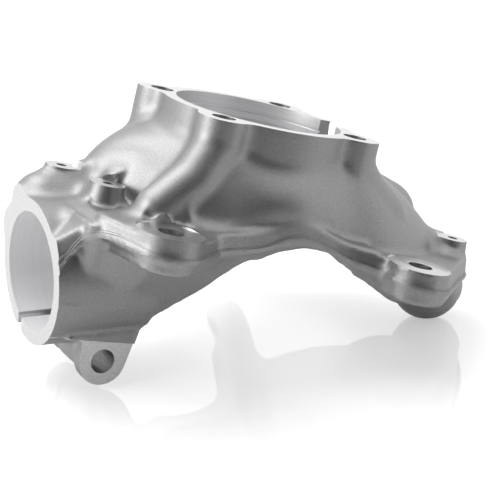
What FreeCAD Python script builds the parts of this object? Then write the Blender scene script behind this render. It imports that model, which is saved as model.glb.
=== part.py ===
import FreeCAD, Part
import math
import os
from FreeCAD import Vector, Placement, Rotation

# Cast steering knuckle of a front axle, one aluminium casting with machined faces and bores.
# Hub frame while modelling: Z along the wheel-bearing axis, outboard up, zero on the flange
# face; minus X runs up the strut. The last step leans the casting the way it rests.

os.makedirs("parts", exist_ok=True)
doc = FreeCAD.newDocument("steering_knuckle")
sheet = doc.addObject("Spreadsheet::Sheet", "dims")

SIZES = [
    ("hub_bore_radius", 45, "wheel bearing seat"),
    ("seat_depth", 30, "length of the bearing seat"),
    ("barrel_wall", 7.5, "wall of the hub barrel round the seat"),
    ("bolt_circle_radius", 53.2, "hub bolts, from the hub axis"),
    ("bolt_hole_radius", 6.25, "M12 clearance hole"),
    ("bolt_boss_radius", 13.5, "lobe round a hub bolt"),
    ("skirt_foot", 66, "depth of the lower rim under the flange face"),
    ("ear_face_depth", 53.7, "caliper ear face under the flange face"),
    ("ear_radius", 16.5, "rounded end of a caliper ear"),
    ("ear_hole_radius", 6.4, "caliper bolt hole"),
    ("upper_ear_thickness", 18.4, "caliper ear beside the strut clamp"),
    ("lower_ear_thickness", 18, "caliper ear on the lower arm"),
    ("land_height", 1, "spot face above the cast skin of an ear"),
    ("upper_ear_x", -74, "caliper ear beside the strut clamp"),
    ("upper_ear_y", -68.4, "caliper ear beside the strut clamp"),
    ("lower_ear_x", 65.5, "caliper ear on the lower arm"),
    ("lower_ear_y", -84, "caliper ear on the lower arm"),
    ("shield_face_depth", 46.5, "dust shield boss faces"),
    ("shield_hole_radius", 2.75, "tapped M6 hole"),
    ("shield_hole_depth", 14, "depth of a tapped hole"),
    ("strut_bore_radius", 31, "clamp bore for the strut tube"),
    ("strut_wall", 7, "clamp ring wall"),
    ("strut_tilt", 10.2, "degrees between strut and hub face"),
    ("strut_face_x", -110.5, "centre of the ring face"),
    ("strut_face_depth", 98.8, "centre of the ring face"),
    ("strut_seat_length", 60, "clamp bore that holds the strut tube"),
    ("clamp_ring_length", 54, "clamp ring, from its face inboard"),
    ("slot_width", 4, "clamp slot"),
    ("slot_side", 13, "clamp slot from the strut axis, away from the ears"),
    ("far_lug_face", 30, "far end of the pinch bosses from the strut axis"),
    ("lug_offset", 30.1, "pinch bolt from the ring face, along the strut"),
    ("lug_drop", 42.7, "pinch bolt below the strut axis"),
    ("lug_radius", 13, "rounded end of a pinch lug"),
    ("lug_half_width", 27, "outer face of a lug from the strut axis"),
    ("pinch_hole_radius", 6.5, "pinch bolt bore"),
    ("joint_taper_radius", 9, "mouth of the ball joint taper"),
    ("rod_taper_radius", 6.5, "mouth of the tie rod taper"),
    ("rest_lean", 15, "degrees the hub axis leans when the casting lies down"),
]
for row, (alias, size, note) in enumerate(SIZES, start=1):
    sheet.set("A%d" % row, str(size))
    sheet.setAlias("A%d" % row, alias)
    sheet.set("B%d" % row, note)
doc.recompute()


def cell(alias):
    return float(sheet.get(alias))


def disc_hull(discs, z):
    """Closed outline of tangent lines and arcs round discs given counter-clockwise."""
    count = len(discs)
    touch = []
    for i in range(count):
        x1, y1, r1 = discs[i]
        x2, y2, r2 = discs[(i + 1) % count]
        gap = math.hypot(x2 - x1, y2 - y1)
        turn = math.atan2(y2 - y1, x2 - x1) - math.acos((r1 - r2) / gap)
        side = Vector(math.cos(turn), math.sin(turn), 0)
        touch.append((Vector(x1, y1, z) + side * r1, Vector(x2, y2, z) + side * r2, turn))
    edges = []
    for i in range(count):
        start, end, turn = touch[i]
        edges.append(Part.LineSegment(start, end).toShape())
        x2, y2, r2 = discs[(i + 1) % count]
        nxt = touch[(i + 1) % count]
        sweep = (nxt[2] - turn) % (2 * math.pi)
        middle = turn + sweep / 2
        crown = Vector(x2 + r2 * math.cos(middle), y2 + r2 * math.sin(middle), z)
        edges.append(Part.Arc(end, crown, nxt[0]).toShape())
    return Part.Wire(edges)


def slab(discs, top, bottom, rounding=0):
    """Plate over the hull of some discs, with its rims rounded."""
    face = Part.Face(disc_hull(discs, top))
    body = face.extrude(Vector(0, 0, bottom - top))
    if rounding:
        body = body.makeFillet(rounding, [e for e in body.Edges if flat_edge(e)])
    return body


def flat_edge(edge):
    return edge.BoundBox.ZLength < 1e-4


def limb(start, r1, end, r2):
    """Tapered rod with ball ends, the form of a cast rib or arm."""
    axis = end - start
    gap = axis.Length
    unit = Vector(axis).normalize()
    lean = (r1 - r2) / gap
    shrink = math.sqrt(1 - lean * lean)
    cone = Part.makeCone(r1 * shrink, r2 * shrink, gap - (r1 - r2) * lean,
                         start + unit * (r1 * lean), unit) if abs(r1 - r2) > 1e-6 else \
        Part.makeCylinder(r1, gap, start, unit)
    return cone.fuse([Part.makeSphere(r1, start), Part.makeSphere(r2, end)])


def rib(balls):
    """Cast rib through a run of balls, each given as x, y, z and radius."""
    ends = [(Vector(x, y, z), r) for x, y, z, r in balls]
    body = limb(*ends[0], *ends[1])
    for one, two in zip(ends[1:], ends[2:]):
        body = body.fuse(limb(*one, *two))
    return body


def ring_section(z, radii):
    """Smooth closed plan section: one radius for each even step of angle from plus X."""
    step = 2 * math.pi / len(radii)
    points = [Vector(r * math.cos(i * step), r * math.sin(i * step), z)
              for i, r in enumerate(radii)]
    curve = Part.BSplineCurve()
    curve.interpolate(Points=points, PeriodicFlag=True)
    return Part.Wire(curve.toShape())


def add(name, shape):
    item = doc.addObject("Part::Feature", name)
    item.Shape = shape.copy()
    return item


BOLT_ANGLES = (47.1, 144, 220.8, 318.6)
circle = cell("bolt_circle_radius")
bolts = [(circle * math.cos(math.radians(turn)), circle * math.sin(math.radians(turn)))
         for turn in BOLT_ANGLES]
boss = cell("bolt_boss_radius")
foot = cell("skirt_foot")

# Hub barrel: round wall with a lobe at each bolt, drawn down into the skirt.
barrel_depth = foot - 14
bore = cell("hub_bore_radius")
barrel = Part.makeCylinder(bore + cell("barrel_wall"), barrel_depth, Vector(0, 0, -barrel_depth))
for x, y in bolts:
    barrel = barrel.fuse(Part.makeCylinder(boss, barrel_depth, Vector(x, y, -barrel_depth)))
barrel = barrel.removeSplitter()
creases = [e for e in barrel.Edges if e.Curve.TypeId == "Part::GeomLine"
           and abs(e.Length - barrel_depth) < 0.1 and len(e.Vertexes) == 2
           and len(barrel.ancestorsOfType(e, Part.Face)) == 2]
barrel = barrel.makeFillet(8, creases)
add("hub_barrel", barrel)

# Skirt: the wall flares from the barrel to the strut side, the lower arm and the ears.
SKIRT = [
    (-12, (50, 50, 54, 58, 52, 50, 50, 50, 50, 56, 54, 52,
           50, 50, 50, 52, 50, 49, 49, 49, 50, 58, 52, 50)),
    (-20, (74, 74, 72, 69, 60, 54, 54, 55, 56, 61, 63, 63,
           59, 56, 57, 60, 55, 53, 53.5, 54, 57, 68, 70, 72)),
    (-28, (92, 90, 84, 76, 65, 60, 60, 61, 63, 68, 72, 74,
           67, 62, 63, 65, 60, 59, 60, 60, 62, 73, 80, 88)),
    (-36, (104, 101, 92, 81, 69, 64, 63, 64, 67, 73, 78, 81,
           70, 66, 66, 69, 64, 63, 63.5, 63, 65, 77, 88, 100)),
    (-44, (112, 108, 99, 86, 72, 66, 64, 66, 70, 77, 83, 85,
           72, 68, 70, 72, 67, 64, 64, 64, 67, 80, 96, 110)),
    (-54, (118, 113, 104, 90, 74, 67, 65, 67, 72, 81, 87, 89,
           74, 70, 74, 76, 69, 64, 64, 64, 68, 84, 104, 118)),
    (-foot, (120, 114, 105, 91, 75, 68, 65, 67, 74, 84, 89, 92,
             78, 76, 80, 80, 70, 63, 62, 63, 68, 86, 108, 121)),
]
skirt = Part.makeLoft([ring_section(z, radii) for z, radii in SKIRT], True, False)
add("skirt", skirt)

# Ribs that run off the hub bolts: to the shield boss, to the upper ear and to the arm.
add("rib_to_clamp", rib([(-41, -36, -14, 12), (-51.5, -39.5, -33, 12.5), (-68, -39, -49.5, 12),
                         (-82, -37, -57, 11)]))
add("rib_to_ear", rib([(-50, -43, -26, 7.5), (-60.4, -43.8, -52.4, 8.5)]))
add("rib_to_arm", rib([(46, 8, -30, 19), (97, 4, -47, 19.5)]))
add("rib_to_lower_ear", rib([(42, -36, -16, 12), (52, -37.5, -27, 12), (68, -37.5, -38, 12)]))

# Strut clamp: a ring along the strut, with a raised spine and a thick far side.
tilt = math.radians(cell("strut_tilt"))
up_strut = Vector(-math.cos(tilt), 0, -math.sin(tilt))
off_strut = Vector(math.sin(tilt), 0, -math.cos(tilt))
ring_face = Vector(cell("strut_face_x"), 0, -cell("strut_face_depth"))
ring_radius = cell("strut_bore_radius") + cell("strut_wall")
ring_length = cell("clamp_ring_length")
clamp = Part.makeCylinder(ring_radius, ring_length, ring_face - up_strut * ring_length, up_strut)
add("clamp_ring", clamp)


def from_ring(back, side, drop):
    """Point given from the ring face: back along the strut, sideways, and below its axis."""
    return ring_face - up_strut * back + Vector(0, side, 0) + off_strut * drop


add("clamp_spine", limb(from_ring(13, 19, -31), 16, from_ring(58, 14, -24), 19))
add("clamp_far_side", limb(from_ring(6, 28, -14), 14, from_ring(50, 24, -12), 15))

# Clamp block, whose near wall leans in from the ear rim down to the pinch lugs.
wall_top = [(-99, -40, 6), (-62, -54, 6), (-15, -54, 6), (-12, 30, 8), (-60, 46, 8), (-99, 32, 6)]
wall_low = [(-92, -17, 6), (-80, -18, 6), (-60, -18, 6), (-56, 16, 6), (-64, 24, 6), (-92, 24, 6)]
block = Part.makeLoft([disc_hull(wall_top, -60), disc_hull(wall_low, -118)], True, True)
add("clamp_block", block)
add("block_rib", limb(Vector(-97, -40, -66), 5, Vector(-92, -20, -114), 5))

# Corner of the rim beside the ring, where the parting line turns down.
beside_ring = [(-30, -76), (-35, -88), (-18, -92), (-12, -76), (-30, -76)]
beside_ear = [(-40, -55), (-42, -64), (-24, -70), (-18, -56), (-40, -55)]
corner_ends = [Part.makePolygon([Vector(x, y, z) for y, z in outline])
               for x, outline in ((-119, beside_ring), (-96, beside_ear))]
add("rim_corner", Part.makeLoft(corner_ends, True, True))
add("clamp_deck", slab([(-95, -37, 6), (-70, -40, 10), (-72, 6, 10), (-92, 16, 8)], -57.5, -72, 3))

# Caliper ears and the rim that joins them over the driveshaft arch.
ear_top = -cell("ear_face_depth")
ear = cell("ear_radius")
upper_spot = (cell("upper_ear_x"), cell("upper_ear_y"))
lower_spot = (cell("lower_ear_x"), cell("lower_ear_y"))
upper_discs = [(*upper_spot, ear), (-44, -50, 12), (-70, -25, 10), (-95.5, -41, 4.5)]
lower_discs = [(*lower_spot, ear), (112, -38, 16), (60, -50, 10)]
upper_pad = [(*upper_spot, ear - 0.5), (-44, -50, 11), (-70, -25, 10), (-84, -46, 9)]
skin = ear_top - cell("land_height")
upper_low = ear_top - cell("upper_ear_thickness")
lower_low = ear_top - cell("lower_ear_thickness")
upper_ear = slab(upper_discs, skin, ear_top - 13, 1.5).fuse(slab(upper_pad, skin - 3, upper_low, 1.5))
add("upper_ear", upper_ear)
add("lower_ear", slab(lower_discs, skin, lower_low, 1.5))
for name, spot in (("upper_ear_land", upper_spot), ("lower_ear_land", lower_spot)):
    add(name, Part.makeCylinder(ear, cell("land_height") + 3, Vector(*spot, skin - 3)))


def bead(discs, z):
    """Parting line left by the mould halves round a plate."""
    return slab([(x, y, r + 0.9) for x, y, r in discs], z + 1.6, z - 1.6)


add("upper_ear_bead", bead(upper_discs, ear_top - 10))
add("lower_ear_bead", bead(lower_discs, ear_top - 8.6))

# Rim over the driveshaft arch: one section with the parting line, swept from ear to ear.
RIM = [(-66, -62, -62.8), (-47, -66, -62), (-37, -65.5, -60.4), (-20, -65, -57.4),
       (-9, -65, -53.8), (1, -65.5, -51.3), (10, -66, -51.6), (19, -67, -54.4),
       (31, -69, -58.2), (44, -74, -59.6), (56, -80, -60.4)]
path = Part.BSplineCurve()
path.interpolate([Vector(*p) for p in RIM])
path = Part.Wire(path.toShape())
section = [(13, 8.6), (2.4, 8.6), (0.6, 7.4), (0, 5), (0, 1.6), (-0.9, 1.6), (-0.9, -1.6), (0, -1.6),
           (0, -3.4), (1.4, -4.6), (13, -4.6)]
first = Vector(*RIM[0])
section = Part.makePolygon([first + Vector(0.2 * n, n, z) for n, z in section + section[:1]])
sweep = Part.BRepOffsetAPI.MakePipeShell(path)
sweep.setBiNormalMode(Vector(0, 0, 1))
sweep.add(section, False, False)
sweep.build()
sweep.makeSolid()
add("arch_rim", sweep.shape())

# Lower arm: drops from the skirt to the ball joint end, which carries the casting at rest.
arm = slab([(77, -58, 9), (116, -28, 19), (98, -2, 20)], -58, -81, 4)
joint = Vector(121.5, -22.5, -79.3)
arm = arm.fuse(limb(Vector(108, -26, -64), 19, joint, 20))
add("lower_arm", arm)

# Dust shield bosses, slender posts with machined tops.
shield_top = -cell("shield_face_depth")
posts = [(-95.5, 22.6, 8.5, 18), (-82.6, -8.6, 9, 20), (115.9, -41.5, 8.3, 24)]
for number, (x, y, r, drop) in enumerate(posts, start=1):
    add("shield_boss_%d" % number, Part.makeCone(r + 2.5, r, drop, Vector(x, y, shield_top - drop)))

cast_names = [o.Name for o in doc.Objects if o.isDerivedFrom("Part::Feature")]
cast = doc.getObject(cast_names[0]).Shape
for name in cast_names[1:]:
    cast = cast.fuse(doc.getObject(name).Shape)

# Driveshaft space: a widening pocket below the bearing seat, and the arch on both sides.
seat = cell("seat_depth")


def turned(radius, top, bottom, low_radius=None):
    """Round tool on the hub axis between two depths below the flange face."""
    if low_radius is None:
        return Part.makeCylinder(radius, bottom - top, Vector(0, 0, -bottom))
    return Part.makeCone(low_radius, radius, bottom - top, Vector(0, 0, -bottom))


pocket = bore + 3
cast = cast.cut(Part.makeCylinder(46, 260, Vector(12, -130, -102), Vector(0, 1, 0)))
cast = cast.cut(turned(pocket, seat + 6, 84).fuse([turned(pocket, 84, 170, 82)]))

# Pinch lugs: a near cheek with a machined face, and a smaller boss behind it.
pinch = from_ring(cell("lug_offset"), 0, cell("lug_drop"))
near_face = -cell("lug_half_width")


def cheek(y_from, y_to, discs):
    """Lug plate between two planes, over the hull of discs given as x, z and radius."""
    outline = disc_hull([(x, -z, r) for x, z, r in discs], 0)
    plate = Part.Face(outline).extrude(Vector(0, 0, y_to - y_from))
    plate.rotate(Vector(0, 0, 0), Vector(1, 0, 0), -90)
    plate.translate(Vector(0, y_from, 0))
    return plate


lug = (pinch.x, pinch.z, cell("lug_radius"))
far_lug = (pinch.x, pinch.z, cell("lug_radius") - 2.5)
add("near_cheek", cheek(near_face, near_face + 9, [lug, (-84, -123.5, 3), (-61, -117.5, 4)]))
add("cheek_shelf", cheek(near_face, near_face + 7, [(-94.5, -122.5, 3), (-60, -117.2, 3)]))
add("far_cheek", cheek(near_face + 8, cell("far_lug_face"), [far_lug, (-93, -112, 5), (-62, -108, 5)]))

# Steering arm on the far side, reaching inboard to the tie rod.
rod = Vector(52, 92, -88)
add("steering_arm", limb(Vector(35, 54, -56), 15, rod, 13))
for name in ("near_cheek", "cheek_shelf", "far_cheek", "steering_arm"):
    cast = cast.fuse(doc.getObject(name).Shape)

# Machined hub face, bearing seat with its two grooves, and the sensor slot.
notch = Part.makeBox(24, 16.4, 18, Vector(38, -9.4, -9))
seat_tool = turned(bore, -1, seat).fuse(
    [turned(bore - 3, seat, seat + 7), turned(bore + 1, 6, 7.2), turned(bore + 1, 10.4, 11.6)])
cuts = [seat_tool, notch]
for x, y in bolts:
    cuts.append(Part.makeCylinder(cell("bolt_hole_radius"), 60, Vector(x, y, -60)))
    cuts.append(Part.makeCylinder(10, 60, Vector(x, y, -84)))

# Ear holes and spot faces, shield holes.
for spot in (upper_spot, lower_spot):
    cuts.append(Part.makeCylinder(cell("ear_hole_radius"), 60, Vector(*spot, ear_top - 40)))
    cuts.append(Part.makeCylinder(ear + 0.5, 20, Vector(*spot, ear_top)))
for x, y, r, drop in posts:
    cuts.append(Part.makeCylinder(cell("shield_hole_radius"), cell("shield_hole_depth") + 1,
                                  Vector(x, y, shield_top - cell("shield_hole_depth"))))
    cuts.append(Part.makeCylinder(r + 1.5, 10, Vector(x, y, shield_top)))

# Strut bore, ring face, clamp slot and pinch bolt bore.
strut_seat = cell("strut_seat_length")
strut_bore = cell("strut_bore_radius")
cuts.append(Part.makeCylinder(strut_bore, strut_seat + 1, from_ring(strut_seat, 0, 0), up_strut))
cuts.append(Part.makeCylinder(strut_bore + 2, 30, from_ring(strut_seat + 30, 0, 0), up_strut))
cuts.append(Part.makeCylinder(80, 40, ring_face, up_strut))
slot_side = cell("slot_side") - cell("slot_width") / 2
cuts.append(Part.makeBox(120, cell("slot_width"), 62, Vector(-130, slot_side, -165)))
across = Vector(0, 1, 0)
cuts.append(Part.makeCylinder(cell("pinch_hole_radius"), 120, pinch - across * 60, across))

# Ball joint taper in the end of the lower arm, tie rod taper in the steering arm.
out = Vector(1, 0, 0)
joint_face = 18
joint_depth = 25.5
joint_mouth = cell("joint_taper_radius")
cuts.append(Part.makeCylinder(13, 20, joint + out * joint_face, out))
cuts.append(Part.makeCone(joint_mouth - joint_depth / 16, joint_mouth, joint_depth,
                          joint + out * (joint_face - joint_depth), out))
rod_half = 10
rod_mouth = cell("rod_taper_radius")
cuts.append(Part.makeCylinder(15, 20, rod + out * rod_half, out))
cuts.append(Part.makeCylinder(15, 20, rod - out * (rod_half + 20), out))
cuts.append(Part.makeCone(rod_mouth, rod_mouth - rod_half / 8, 2 * rod_half, rod - out * rod_half, out))

knuckle_shape = cast
for tool in cuts:
    knuckle_shape = knuckle_shape.cut(tool)
knuckle = doc.addObject("Part::Feature", "knuckle")
knuckle.Label = "knuckle"
knuckle.Shape = knuckle_shape
knuckle.Placement = Placement(Vector(0, 0, 0), Rotation(Vector(0, 1, 0), cell("rest_lean")))

doc.recompute()
for item in doc.Objects:
    if "Invalid" in item.State or "Error" in item.State:
        raise SystemExit("failed: " + item.Name)
    if hasattr(item, "Shape") and (item.Shape.isNull() or not item.Shape.isValid()):
        raise SystemExit("bad shape: " + item.Name)
if len(knuckle.Shape.Solids) != 1:
    raise SystemExit("the casting is not one solid: %d" % len(knuckle.Shape.Solids))
knuckle.Shape.exportStep("parts/" + knuckle.Label + ".step")
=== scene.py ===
import math

import bpy
from mathutils import Matrix, Vector


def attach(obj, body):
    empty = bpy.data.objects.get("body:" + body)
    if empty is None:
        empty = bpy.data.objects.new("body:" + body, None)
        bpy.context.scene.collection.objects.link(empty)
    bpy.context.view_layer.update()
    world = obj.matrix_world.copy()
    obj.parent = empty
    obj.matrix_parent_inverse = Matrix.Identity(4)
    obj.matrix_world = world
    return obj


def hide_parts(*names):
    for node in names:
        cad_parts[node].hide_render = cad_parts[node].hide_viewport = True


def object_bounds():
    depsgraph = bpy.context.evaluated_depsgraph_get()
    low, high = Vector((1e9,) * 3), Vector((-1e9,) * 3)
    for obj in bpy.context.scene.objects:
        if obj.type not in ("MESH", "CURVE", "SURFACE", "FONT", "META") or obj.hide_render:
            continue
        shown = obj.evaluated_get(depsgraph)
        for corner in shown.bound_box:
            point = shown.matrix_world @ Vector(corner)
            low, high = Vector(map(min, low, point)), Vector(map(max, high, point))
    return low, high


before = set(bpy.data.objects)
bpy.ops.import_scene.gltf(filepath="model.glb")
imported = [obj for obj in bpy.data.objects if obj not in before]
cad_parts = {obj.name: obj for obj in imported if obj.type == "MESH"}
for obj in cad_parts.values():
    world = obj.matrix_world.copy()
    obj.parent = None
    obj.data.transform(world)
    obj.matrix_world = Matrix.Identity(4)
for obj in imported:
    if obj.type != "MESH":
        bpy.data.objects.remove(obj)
cad_low, cad_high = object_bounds()


# The raw casting of the knuckle, aluminium poured in a steel mould. The CAD solid has its true
# outside, so a copy of it is taken, its machined faces get their machining allowance back, its
# bores are filled, and the corners between its forms are washed out as molten metal leaves them.
# The voxel and the wash are in metres, and the allowance in millimetres, as all of the sizes are
# that hub_point, bar and block take.
REST_LEAN = math.radians(15)
FINE_VOXEL = 0.00135
WASH_RADIUS = 0.006
ALLOWANCE = 3.0
from_hub = Matrix.Rotation(REST_LEAN, 4, "Y")


def hub_point(x, y, z):
    """Place in the scene of a point given in millimetres from the hub face's centre."""
    return from_hub @ (Vector((x, y, z)) / 1000)


def hub_direction(x, y, z):
    """Direction in the scene of one given in the hub frame."""
    return (from_hub.to_3x3() @ Vector((x, y, z))).normalized()


def only(piece):
    """Selects one object alone."""
    bpy.ops.object.select_all(action="DESELECT")
    piece.select_set(True)
    bpy.context.view_layer.objects.active = piece


def finish_step(piece, step):
    """Applies a modifier as soon as it is set, so that the next one starts from its result."""
    only(piece)
    bpy.ops.object.modifier_apply(modifier=step.name)


def bar(name, start, end, radius, end_radius=None, sides=64):
    """Round bar between two places, with its sizes in millimetres."""
    along = end - start
    bpy.ops.object.select_all(action="DESELECT")
    bpy.ops.mesh.primitive_cone_add(
        vertices=sides, radius1=radius / 1000, radius2=(end_radius or radius) / 1000, depth=along.length,
        location=(start + end) / 2, rotation=along.to_track_quat("Z", "Y").to_euler())
    piece = bpy.context.object
    piece.name = name
    bpy.ops.object.transform_apply(location=True, rotation=True, scale=True)
    return piece


def block(name, low, high):
    """Box between two corners of the hub frame, in millimetres."""
    middle = [(a + b) / 2 for a, b in zip(low, high)]
    bpy.ops.object.select_all(action="DESELECT")
    bpy.ops.mesh.primitive_cube_add(size=1, location=hub_point(*middle), rotation=(0, REST_LEAN, 0))
    piece = bpy.context.object
    piece.name = name
    piece.scale = [(b - a) / 1000 for a, b in zip(low, high)]
    bpy.ops.object.transform_apply(location=True, rotation=True, scale=True)
    return piece


# Places and sizes of the machined features. Plain numbers are millimetres in the hub frame, whose
# origin is the centre of the hub face, with Z along the hub and the strut towards minus X. Places
# on the strut's axis and directions are vectors in the scene.
HUB_UP = hub_direction(0, 0, 1)
SEAT_RADIUS = 45
SEAT_DEPTH = 30
THROAT_RADIUS = 42
THROAT_FOOT = 48
GROOVE_RADIUS = 46
GROOVE_TOPS = (6, 10.4)
GROOVE_WIDTH = 1.2
STRUT_TILT = math.radians(10.2)
UP_STRUT = hub_direction(-math.cos(STRUT_TILT), 0, -math.sin(STRUT_TILT))
OFF_STRUT = hub_direction(math.sin(STRUT_TILT), 0, -math.cos(STRUT_TILT))
RING_FACE = hub_point(-110.5, 0, -98.8)
STRUT_RADIUS = 31
UPPER_EAR = (-74, -68.4, -53.7)
LOWER_EAR = (65.5, -84, -53.7)
EAR_HOLE = 6.4
SPOT_RADIUS = 17.6
SHIELD_BOSSES = [(-95.5, 22.6, 8.5), (-82.6, -8.6, 9), (115.9, -41.5, 8.3)]
SHIELD_FACE = -46.5
SHIELD_HOLE = 2.75
SHIELD_HOLE_DEPTH = 14
BOLT_CIRCLE = 53.2
BOLT_TURNS = [math.radians(turn) for turn in (47.1, 144, 220.8, 318.6)]
BOLT_HOLE = 6.25
HUB_BOLTS = [(BOLT_CIRCLE * math.cos(turn), BOLT_CIRCLE * math.sin(turn)) for turn in BOLT_TURNS]
PINCH = RING_FACE - UP_STRUT * 0.0301 + OFF_STRUT * 0.0427
PINCH_HOLE = 6.5
LUG_SPAN = Vector((0, 0.027, 0))
JOINT = (121.5, -22.5, -79.3)
JOINT_FACE = JOINT[0] + 18
ROD = (52, 92, -88)
ROD_HALF = 12

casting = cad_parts["knuckle"].copy()
casting.data = casting.data.copy()
casting.name = "knuckle_casting"
bpy.context.collection.objects.link(casting)
only(casting)
bpy.ops.object.mode_set(mode="EDIT")
bpy.ops.mesh.select_all(action="SELECT")
bpy.ops.mesh.remove_doubles(threshold=0.00001)
bpy.ops.object.mode_set(mode="OBJECT")


LEVEL = 0.999
SAME_PLANE = 0.0001


def raise_face(spot, direction, reach):
    """Draws the machined face within reach of a spot outward by the allowance."""
    bpy.ops.object.mode_set(mode="EDIT")
    bpy.ops.mesh.select_all(action="DESELECT")
    bpy.ops.object.mode_set(mode="OBJECT")
    for face in casting.data.polygons:
        offset = face.center - spot
        face.select = (face.normal.dot(direction) > LEVEL and abs(offset.dot(direction)) < SAME_PLANE
                       and offset.length < reach)
    bpy.ops.object.mode_set(mode="EDIT")
    bpy.ops.mesh.select_mode(type="FACE")
    bpy.ops.mesh.extrude_region_move(
        TRANSFORM_OT_translate={"value": direction * ALLOWANCE / 1000, "orient_type": "GLOBAL"})
    bpy.ops.object.mode_set(mode="OBJECT")


raise_face(hub_point(0, 0, 0), HUB_UP, reach=0.09)
raise_face(RING_FACE, UP_STRUT, reach=0.09)
raise_face(hub_point(*UPPER_EAR), HUB_UP, reach=0.0171)
raise_face(hub_point(*LOWER_EAR), HUB_UP, reach=0.0171)
for x, y, radius in SHIELD_BOSSES:
    raise_face(hub_point(x, y, SHIELD_FACE), HUB_UP, reach=0.012)
raise_face(PINCH - LUG_SPAN, Vector((0, -1, 0)), reach=0.05)
raise_face(hub_point(JOINT_FACE, JOINT[1], JOINT[2]), hub_direction(1, 0, 0), reach=0.02)

# Every hole is filled by a bar a little wider than it, as a solid casting has it.
fillings = [bar("seat_filling", hub_point(0, 0, -36), hub_point(0, 0, ALLOWANCE), SEAT_RADIUS + 2)]
for x, y in HUB_BOLTS:
    fillings.append(bar("bolt_filling", hub_point(x, y, -24), hub_point(x, y, ALLOWANCE), radius=7))
for x, y, z in (UPPER_EAR, LOWER_EAR):
    fillings.append(bar("ear_filling", hub_point(x, y, z - 18.5), hub_point(x, y, z + ALLOWANCE), radius=7))
for x, y, radius in SHIELD_BOSSES:
    fillings.append(bar("boss_filling", hub_point(x, y, SHIELD_FACE - 15),
                        hub_point(x, y, SHIELD_FACE + ALLOWANCE), radius=3.2))
fillings.append(bar("strut_filling", RING_FACE - UP_STRUT * 0.052,
                    RING_FACE + UP_STRUT * ALLOWANCE / 1000, STRUT_RADIUS + 2))
fillings.append(bar("pinch_filling", PINCH - Vector((0, 0.0295, 0)), PINCH + Vector((0, 0.029, 0)),
                    radius=7.2))
fillings.append(bar("joint_filling", hub_point(112, JOINT[1], JOINT[2]),
                    hub_point(JOINT_FACE + ALLOWANCE, JOINT[1], JOINT[2]), radius=9.6))
bpy.ops.object.select_all(action="DESELECT")
for filling in fillings:
    filling.select_set(True)
casting.select_set(True)
bpy.context.view_layer.objects.active = casting
bpy.ops.object.join()


def even_skin(piece, voxel):
    """One closed skin of even small faces over everything that the mesh holds."""
    step = piece.modifiers.new("even_skin", "REMESH")
    step.mode = "VOXEL"
    step.voxel_size = voxel
    finish_step(piece, step)


def swell(piece, distance):
    step = piece.modifiers.new("swell", "DISPLACE")
    step.strength = distance
    step.mid_level = 0
    finish_step(piece, step)


def cut_away(piece, tool, trace=False):
    """Cuts one solid out of another; with trace, the cut keeps the tool's metal."""
    step = piece.modifiers.new("cut", "BOOLEAN")
    step.operation = "DIFFERENCE"
    step.solver = "MANIFOLD"
    step.object = tool
    if trace:
        step.material_mode = "TRANSFER"
    finish_step(piece, step)
    bpy.data.objects.remove(tool)


# A copy is swollen and drawn in again, which rounds its inner corners. Where the mould leaves a
# corner sharp, a space is cut out of that copy, so that the first skin shows there. The pinch lugs
# stay out of the copy from the start.
even_skin(casting, FINE_VOXEL)
only(casting)
bpy.ops.object.duplicate()
washed = bpy.context.object
cut_away(washed, block("lug_space", (-140, -60, -170), (-30, 60, -106)))
swell(washed, WASH_RADIUS)
even_skin(washed, FINE_VOXEL)
swell(washed, -WASH_RADIUS)
even_skin(washed, FINE_VOXEL)
crisp_spaces = [
    block("rim_space", (-110, -120, -95), (26, -60, -30)),
    block("under_deck_space", (-110, -61, -92), (-38, -25, -64)),
    block("corner_space", (-135, -62, -100), (-95, -20, -50)),
    block("lower_deck_space", (26, -120, -57.5), (100, -46, -40)),
]
for x, y, radius in SHIELD_BOSSES:
    crisp_spaces.append(bar("post_space", hub_point(x, y, SHIELD_FACE - 15),
                            hub_point(x, y, SHIELD_FACE + 9), radius + 2))
crisp_spaces.append(bar("valley_space", hub_point(-79, -15, -60), hub_point(-79, -15, -30), radius=15))
crisp_spaces.append(bar("spot_space", hub_point(*UPPER_EAR), hub_point(*UPPER_EAR[:2], -30), radius=22))
for space in crisp_spaces:
    cut_away(washed, space)
washed.select_set(True)
casting.select_set(True)
bpy.context.view_layer.objects.active = casting
bpy.ops.object.join()

# The ridge along the front stops short of the lower ear's spot face.
ridge_end = LOWER_EAR[2] + 0.8
cut_away(casting, bar("ridge_end_space", hub_point(*LOWER_EAR[:2], ridge_end),
                      hub_point(*LOWER_EAR[:2], -40), radius=23))
even_skin(casting, FINE_VOXEL)
soften = casting.modifiers.new("soften", "SMOOTH")
soften.factor = 0.5
soften.iterations = 3
finish_step(casting, soften)


# Parting line: where the mould halves met, a low band of metal stands all along the front.
# A thin curved sheet is met with a slightly swollen copy of the casting, and what they share
# is joined on, first a broad band and then a narrower one on its crown. The line's points are
# X and Z in the hub frame, from the clamp to the lower arm.
PARTING = [(-124, -110), (-112.7, -86.6), (-105, -70.5), (-97.5, -62.5), (-87.8, -62.6), (-74.2, -63.4),
           (-59.6, -63), (-47.1, -62.4), (-36.8, -60.6), (-18.3, -57.6), (-9.3, -53.6), (-2.2, -51),
           (7, -51.2), (16.9, -53.7), (30.1, -58.3), (38.6, -59.5), (49.7, -61.2), (60, -62),
           (79.9, -63), (108, -64), (123.9, -65.4), (140, -67)]
SHEET_MIDDLE = -0.065
SHEET_REACH = 0.045


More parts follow.
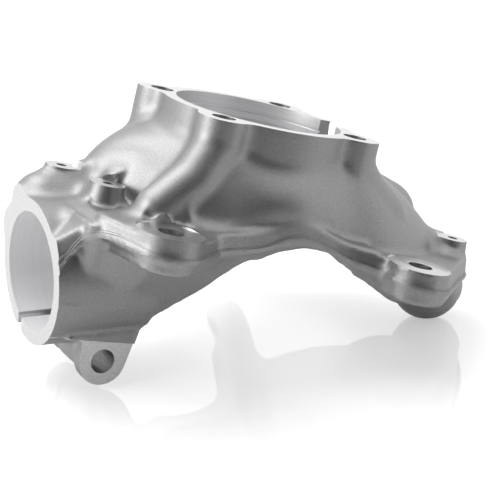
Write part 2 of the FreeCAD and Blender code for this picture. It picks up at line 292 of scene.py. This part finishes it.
def parting_sheet(thickness):
    """Sheet through the parting line, level across the casting, from the front to its middle."""
    path = bpy.data.curves.new("parting_path", "CURVE")
    path.dimensions = "2D"
    path.resolution_u = 6
    line = path.splines.new("BEZIER")
    line.bezier_points.add(len(PARTING) - 1)
    for point, (x, z) in zip(line.bezier_points, PARTING):
        point.co = (x / 1000, z / 1000, 0)
        point.handle_left_type = "AUTO"
        point.handle_right_type = "AUTO"
    path.extrude = SHEET_REACH
    sheet = bpy.data.objects.new("parting_sheet", path)
    bpy.context.collection.objects.link(sheet)
    upright = Matrix.Rotation(math.radians(90), 4, "X")
    sheet.matrix_world = from_hub @ Matrix.Translation((0, SHEET_MIDDLE, 0)) @ upright
    only(sheet)
    bpy.ops.object.convert(target="MESH")
    bpy.ops.object.transform_apply(location=True, rotation=True, scale=True)
    step = sheet.modifiers.new("thickness", "SOLIDIFY")
    step.thickness = thickness / 1000
    step.offset = 0
    finish_step(sheet, step)
    return sheet


BANDS = ((3.4, 0.6), (2.2, 0.9))
for height, proud in BANDS:
    only(casting)
    bpy.ops.object.duplicate()
    band = bpy.context.object
    swell(band, proud / 1000)
    sheet = parting_sheet(height)
    meet = band.modifiers.new("meet", "BOOLEAN")
    meet.operation = "INTERSECT"
    meet.solver = "MANIFOLD"
    meet.object = sheet
    finish_step(band, meet)
    bpy.data.objects.remove(sheet)
    weld = casting.modifiers.new("weld", "BOOLEAN")
    weld.operation = "UNION"
    weld.solver = "MANIFOLD"
    weld.object = band
    finish_step(casting, weld)
    bpy.data.objects.remove(band)


# Machining of the casting: the hub face and seat are turned, the rest is milled, spot-faced,
# drilled and bored. Each cutter leaves the bright metal of its own tool on what it cuts.
def plain_group(name, inputs, outputs):
    """Empty shader group with its sockets, each given as a name and a kind."""
    group = bpy.data.node_groups.new(name, "ShaderNodeTree")
    for label, kind in inputs:
        group.interface.new_socket(name=label, in_out="INPUT", socket_type="NodeSocket" + kind)
    for label, kind in outputs:
        group.interface.new_socket(name=label, in_out="OUTPUT", socket_type="NodeSocket" + kind)
    entry = group.nodes.new("NodeGroupInput")
    leave = group.nodes.new("NodeGroupOutput")
    return group, entry, leave


grain, entry, leave = plain_group(
    "casting_grain", [("Place", "Vector"), ("Fineness", "Float"), ("Height", "Float")],
    [("Tone", "Float"), ("Normal", "Vector")])
noise = grain.nodes.new("ShaderNodeTexNoise")
noise.inputs["Detail"].default_value = 4
noise.inputs["Roughness"].default_value = 0.62
bump = grain.nodes.new("ShaderNodeBump")
bump.inputs["Strength"].default_value = 1
grain.links.new(entry.outputs["Place"], noise.inputs["Vector"])
grain.links.new(entry.outputs["Fineness"], noise.inputs["Scale"])
grain.links.new(noise.outputs["Fac"], bump.inputs["Height"])
grain.links.new(entry.outputs["Height"], bump.inputs["Distance"])
grain.links.new(noise.outputs["Fac"], leave.inputs["Tone"])
grain.links.new(bump.outputs["Normal"], leave.inputs["Normal"])

# Tool marks are rings round the tool's axis, which is the Z axis of the place that they are given.
marks, entry, leave = plain_group(
    "tool_marks", [("Place", "Vector"), ("Fineness", "Float"), ("Height", "Float")],
    [("Tone", "Float"), ("Normal", "Vector")])
flat_place = marks.nodes.new("ShaderNodeVectorMath")
flat_place.operation = "MULTIPLY"
flat_place.inputs[1].default_value = (1, 1, 0)
from_axis = marks.nodes.new("ShaderNodeVectorMath")
from_axis.operation = "LENGTH"
split = marks.nodes.new("ShaderNodeSeparateXYZ")
rings = marks.nodes.new("ShaderNodeCombineXYZ")
ring_noise = marks.nodes.new("ShaderNodeTexNoise")
ring_noise.noise_dimensions = "2D"
ring_noise.inputs["Detail"].default_value = 2
ring_bump = marks.nodes.new("ShaderNodeBump")
ring_bump.inputs["Strength"].default_value = 1
marks.links.new(entry.outputs["Place"], flat_place.inputs[0])
marks.links.new(flat_place.outputs["Vector"], from_axis.inputs[0])
marks.links.new(entry.outputs["Place"], split.inputs["Vector"])
marks.links.new(from_axis.outputs["Value"], rings.inputs["X"])
marks.links.new(split.outputs["Z"], rings.inputs["Y"])
marks.links.new(rings.outputs["Vector"], ring_noise.inputs["Vector"])
marks.links.new(entry.outputs["Fineness"], ring_noise.inputs["Scale"])
marks.links.new(ring_noise.outputs["Fac"], ring_bump.inputs["Height"])
marks.links.new(entry.outputs["Height"], ring_bump.inputs["Distance"])
marks.links.new(ring_noise.outputs["Fac"], leave.inputs["Tone"])
marks.links.new(ring_bump.outputs["Normal"], leave.inputs["Normal"])


def metal(name, roughness, dark, light, group, fineness, height, axis=None, centre=None, metallic=1):
    """Bare aluminium whose tone wanders between two colours with its group's pattern."""
    material = bpy.data.materials.new(name)
    material.use_nodes = True
    tree = material.node_tree
    shader = tree.nodes["Principled BSDF"]
    shader.inputs["Metallic"].default_value = metallic
    shader.inputs["Roughness"].default_value = roughness
    place = tree.nodes.new("ShaderNodeTexCoord")
    pattern = tree.nodes.new("ShaderNodeGroup")
    pattern.node_tree = group
    pattern.inputs["Fineness"].default_value = fineness
    pattern.inputs["Height"].default_value = height
    tone = tree.nodes.new("ShaderNodeMapRange")
    tone.inputs["From Min"].default_value = 0.3
    tone.inputs["From Max"].default_value = 0.7
    colour = tree.nodes.new("ShaderNodeMix")
    colour.data_type = "RGBA"
    colour.inputs["A"].default_value = (dark, dark, dark * 1.01, 1)
    colour.inputs["B"].default_value = (light, light, light * 1.01, 1)
    if axis is None:
        tree.links.new(place.outputs["Object"], pattern.inputs["Place"])
    else:
        upright = axis.rotation_difference(Vector((0, 0, 1)))
        mapping = tree.nodes.new("ShaderNodeMapping")
        mapping.inputs["Rotation"].default_value = upright.to_euler()
        mapping.inputs["Location"].default_value = -(upright @ centre)
        tree.links.new(place.outputs["Object"], mapping.inputs["Vector"])
        tree.links.new(mapping.outputs["Vector"], pattern.inputs["Place"])
    tree.links.new(pattern.outputs["Tone"], tone.inputs["Value"])
    tree.links.new(tone.outputs["Result"], colour.inputs["Factor"])
    tree.links.new(colour.outputs["Result"], shader.inputs["Base Color"])
    tree.links.new(pattern.outputs["Normal"], shader.inputs["Normal"])
    return material


cast_skin = metal("cast_aluminium", roughness=0.47, dark=0.30, light=0.40,
                  group=grain, fineness=1300, height=0.00005)
hub_turned = metal("turned_hub", roughness=0.33, dark=0.78, light=0.93, group=marks, fineness=1400,
                   height=0.000008, axis=HUB_UP, centre=hub_point(0, 0, 0), metallic=0.7)
strut_bored = metal("bored_strut_seat", roughness=0.3, dark=0.90, light=0.98, group=marks, fineness=900,
                    height=0.00001, axis=UP_STRUT, centre=RING_FACE, metallic=0.15)
milled = metal("milled_face", roughness=0.3, dark=0.66, light=0.78, group=marks, fineness=1100,
               height=0.00001, axis=HUB_UP, centre=hub_point(-10, -160, 0))
drilled = metal("drilled_hole", roughness=0.3, dark=0.5, light=0.7, group=marks, fineness=1500,
                height=0.00001, axis=HUB_UP, centre=hub_point(0, 0, 0))

casting.data.materials.clear()
casting.data.materials.append(cast_skin)

hub_tools = [
    bar("face_cutter", hub_point(0, 0, 0), hub_point(0, 0, 20), radius=78, sides=128),
    bar("seat_cutter", hub_point(0, 0, -SEAT_DEPTH), hub_point(0, 0, 2), SEAT_RADIUS, sides=192),
    bar("throat_cutter", hub_point(0, 0, -THROAT_FOOT), hub_point(0, 0, 1 - SEAT_DEPTH),
        THROAT_RADIUS, sides=192),
]
for top in GROOVE_TOPS:
    hub_tools.append(bar("seat_groove", hub_point(0, 0, -top - GROOVE_WIDTH), hub_point(0, 0, -top),
                         GROOVE_RADIUS, sides=192))
strut_tools = [bar("strut_cutter", RING_FACE - UP_STRUT * 0.060, RING_FACE + UP_STRUT * 0.01,
                   STRUT_RADIUS, sides=192)]
cast_slots = [block("sensor_slot", (37.9, -9.5, -9.1), (62, 7.1, 9))]
mills = [
    bar("ring_face_cutter", RING_FACE, RING_FACE + UP_STRUT * 0.02, radius=70, sides=128),
    block("slot_cutter", (-130, 11, -165), (-10, 15, -103)),
    block("lug_cutter", (-112, -45, -160), (-48, -27, -124)),
    bar("joint_face_cutter", hub_point(JOINT_FACE, JOINT[1], JOINT[2]),
        hub_point(160, JOINT[1], JOINT[2]), radius=14),
]
drills = [
    bar("pinch_cutter", PINCH - Vector((0, 0.06, 0)), PINCH + Vector((0, 0.06, 0)), PINCH_HOLE),
    bar("joint_taper_cutter", hub_point(JOINT_FACE - 25.5, JOINT[1], JOINT[2]),
        hub_point(JOINT_FACE + 0.5, JOINT[1], JOINT[2]), radius=7.4, end_radius=9),
    bar("rod_taper_cutter", hub_point(ROD[0] - ROD_HALF, ROD[1], ROD[2]),
        hub_point(ROD[0] + ROD_HALF, ROD[1], ROD[2]), radius=6.5, end_radius=5.2),
]
for x, y in HUB_BOLTS:
    drills.append(bar("bolt_cutter", hub_point(x, y, -60), hub_point(x, y, 2), BOLT_HOLE))
for x, y, z in (UPPER_EAR, LOWER_EAR):
    drills.append(bar("ear_drill", hub_point(x, y, z - 40), hub_point(x, y, z + 10), EAR_HOLE))
    mills.append(bar("spot_facer", hub_point(x, y, z), hub_point(x, y, z + 20), SPOT_RADIUS, sides=128))
for x, y, radius in SHIELD_BOSSES:
    drills.append(bar("boss_drill", hub_point(x, y, SHIELD_FACE - SHIELD_HOLE_DEPTH),
                      hub_point(x, y, SHIELD_FACE + 9), SHIELD_HOLE))
    mills.append(bar("boss_facer", hub_point(x, y, SHIELD_FACE),
                     hub_point(x, y, SHIELD_FACE + 10), radius + 2.2))

for tools, finish in ((hub_tools, hub_turned), (cast_slots, cast_skin), (strut_tools, strut_bored),
                      (mills, milled), (drills, drilled)):
    for tool in tools:
        tool.data.materials.clear()
        tool.data.materials.append(finish)
        cut_away(casting, tool, trace=True)
only(casting)
bpy.ops.object.shade_smooth_by_angle(angle=math.radians(35))

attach(casting, "root")
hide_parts("knuckle")


# The table top, a polished white sheet that fades into the backdrop. It shows white to the
# camera, with the casting's soft shadow and a pale mirror picture of its underside.
def seen_strength(tree, camera_part, mirror_part, rest=0):
    """Strength of a white that the camera and reflections see, over what lights the scene."""
    rays = tree.nodes.new("ShaderNodeLightPath")
    by_camera = tree.nodes.new("ShaderNodeMath")
    by_camera.operation = "MULTIPLY_ADD"
    by_camera.inputs[1].default_value = camera_part
    by_camera.inputs[2].default_value = rest
    by_mirror = tree.nodes.new("ShaderNodeMath")
    by_mirror.operation = "MULTIPLY_ADD"
    by_mirror.inputs[1].default_value = mirror_part
    tree.links.new(rays.outputs["Is Camera Ray"], by_camera.inputs[0])
    tree.links.new(rays.outputs["Is Glossy Ray"], by_mirror.inputs[0])
    tree.links.new(by_camera.outputs["Value"], by_mirror.inputs[2])
    return by_mirror.outputs["Value"]


bpy.ops.object.select_all(action="DESELECT")
bpy.ops.mesh.primitive_plane_add(size=8, location=(0, 0, cad_low[2]))
table_top = bpy.context.object
table_top.name = "table_top"
table_paint = bpy.data.materials.new("table_paint")
table_paint.use_nodes = True
table_shader = table_paint.node_tree.nodes["Principled BSDF"]
table_shader.inputs["Base Color"].default_value = (0.9, 0.9, 0.9, 1)
table_shader.inputs["Roughness"].default_value = 0.03
table_shader.inputs["IOR"].default_value = 2.0
table_shader.inputs["Emission Color"].default_value = (1, 1, 1, 1)
table_glow = seen_strength(table_paint.node_tree, camera_part=0.42, mirror_part=0.08)
table_paint.node_tree.links.new(table_glow, table_shader.inputs["Emission Strength"])
table_top.data.materials.append(table_paint)

# A black card behind the camera darkens the walls that face it.
bpy.ops.mesh.primitive_plane_add(size=1, location=(-0.05, -1.2, 0.75),
                                 rotation=(math.radians(90), 0, math.radians(-28.5)))
black_card = bpy.context.object
black_card.name = "black_card"
black_card.scale = (2.6, 1.7, 1)
bpy.ops.object.transform_apply(location=True, rotation=True, scale=True)
card_paint = bpy.data.materials.new("card_paint")
card_paint.use_nodes = True
card_shader = card_paint.node_tree.nodes["Principled BSDF"]
card_shader.inputs["Base Color"].default_value = (0.03, 0.03, 0.03, 1)
card_shader.inputs["Roughness"].default_value = 0.9
black_card.data.materials.append(card_paint)

# The studio's white walls light everything softly. The camera and mirror pictures see them white.
world = bpy.data.worlds.new("studio")
bpy.context.scene.world = world
world.use_nodes = True
background = world.node_tree.nodes["Background"]
background.inputs["Color"].default_value = (1, 1, 1, 1)
wall_glow = seen_strength(world.node_tree, camera_part=0.4, mirror_part=0.4, rest=0.6)
world.node_tree.links.new(wall_glow, background.inputs["Strength"])


def softbox(name, place, aim, width, height, watts):
    """Flat rectangular lamp that faces its aim, in metres."""
    bpy.ops.object.select_all(action="DESELECT")
    bpy.ops.object.light_add(type="AREA", location=place)
    lamp = bpy.context.object
    lamp.name = name
    lamp.rotation_euler = (Vector(aim) - Vector(place)).to_track_quat("-Z", "Y").to_euler()
    lamp.data.shape = "RECTANGLE"
    lamp.data.size = width
    lamp.data.size_y = height
    lamp.data.energy = watts
    return lamp


softbox("top_softbox", place=(-0.35, 0.45, 1.2), aim=(0, 0, 0), width=1.2, height=1.0, watts=9)
softbox("left_softbox", place=(-1.3, 0.2, 0.5), aim=(0, 0, -0.05), width=0.8, height=0.7, watts=8)

# The camera stands where the photograph was taken from. Its three axes are unit directions.
bpy.ops.object.camera_add(location=(-0.3978, -0.7240, 0.21897))
camera = bpy.context.object
camera.name = "camera"
right = Vector((0.87902, -0.47679, -0.00068))
down = Vector((-0.16187, -0.29708, -0.94103))
ahead = Vector((0.44847, 0.82729, -0.33832))
turn = Matrix((right, -down, -ahead)).transposed()
camera.rotation_euler = turn.to_euler()
camera.data.sensor_width = 36
camera.data.lens = 115.2
bpy.context.scene.camera = camera
bpy.context.scene.view_settings.view_transform = "Standard"
